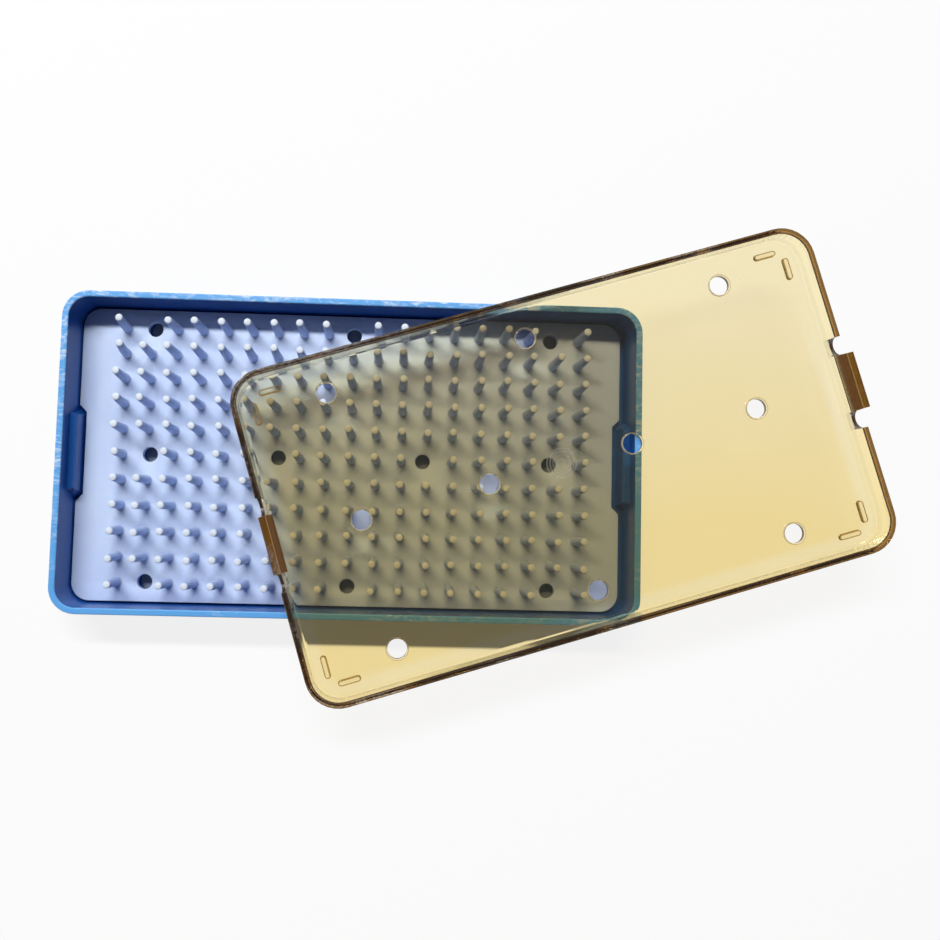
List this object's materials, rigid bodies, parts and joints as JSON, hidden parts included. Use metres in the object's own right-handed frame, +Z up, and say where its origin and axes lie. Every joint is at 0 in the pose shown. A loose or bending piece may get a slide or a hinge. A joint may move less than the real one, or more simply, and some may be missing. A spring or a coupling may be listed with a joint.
{
  "type": "sterilization tray",
  "caption": "Shallow plastic instrument sterilization tray with a silicone finger mat and a transparent vented snap lid laid upside down across it.",
  "frame": {"origin": "middle of the base tray's underside, on the surface that it stands on", "axes": "+X along the tray's long side towards the end that the lid hangs past, +Y towards the back long side, +Z up out of the tray"},
  "size_m": [0.2701, 0.1564, 0.0308],
  "materials": {
    "blue_polymer": "moulded blue polymer with a low gloss and a few pale scuffs on the rim",
    "silicone": "matt pale lavender silicone, slightly milky",
    "amber_polymer": "clear amber heat-proof polymer, glossy, darker along its edges"
  },
  "bodies": {
    "tray": {"base_tray": "blue_polymer"},
    "mat": {"finger_mat": "silicone"},
    "lid": {"lid_shell": "amber_polymer"},
    "right_tab": {"snap_tab_right": "amber_polymer"},
    "left_tab": {"snap_tab_left": "amber_polymer"}
  },
  "joints": [
    {"name": "lid_lift", "type": "slide", "parent": "tray", "child": "lid", "axis": [0, 0, 1], "range_m": [0, 0.06]},
    {"name": "mat_lift", "type": "slide", "parent": "tray", "child": "mat", "axis": [0, 0, 1], "range_m": [0, 0.03]},
    {"name": "right_tab_flex", "type": "hinge", "parent": "lid", "child": "right_tab", "pos_m": [0.16058, 0.02844, 0.02275], "axis": [-0.2957, 0.9553, 0], "range_deg": [0, 12], "stiffness_Nm_per_rad": 0.3},
    {"name": "left_tab_flex", "type": "hinge", "parent": "lid", "child": "left_tab", "pos_m": [-0.02378, -0.02864, 0.02275], "axis": [0.2957, -0.9553, 0], "range_deg": [0, 12], "stiffness_Nm_per_rad": 0.3}
  ],
  "couplings": [
    {"joint": "mat_lift", "follows": "lid_lift", "ratio": 0.5}
  ]
}
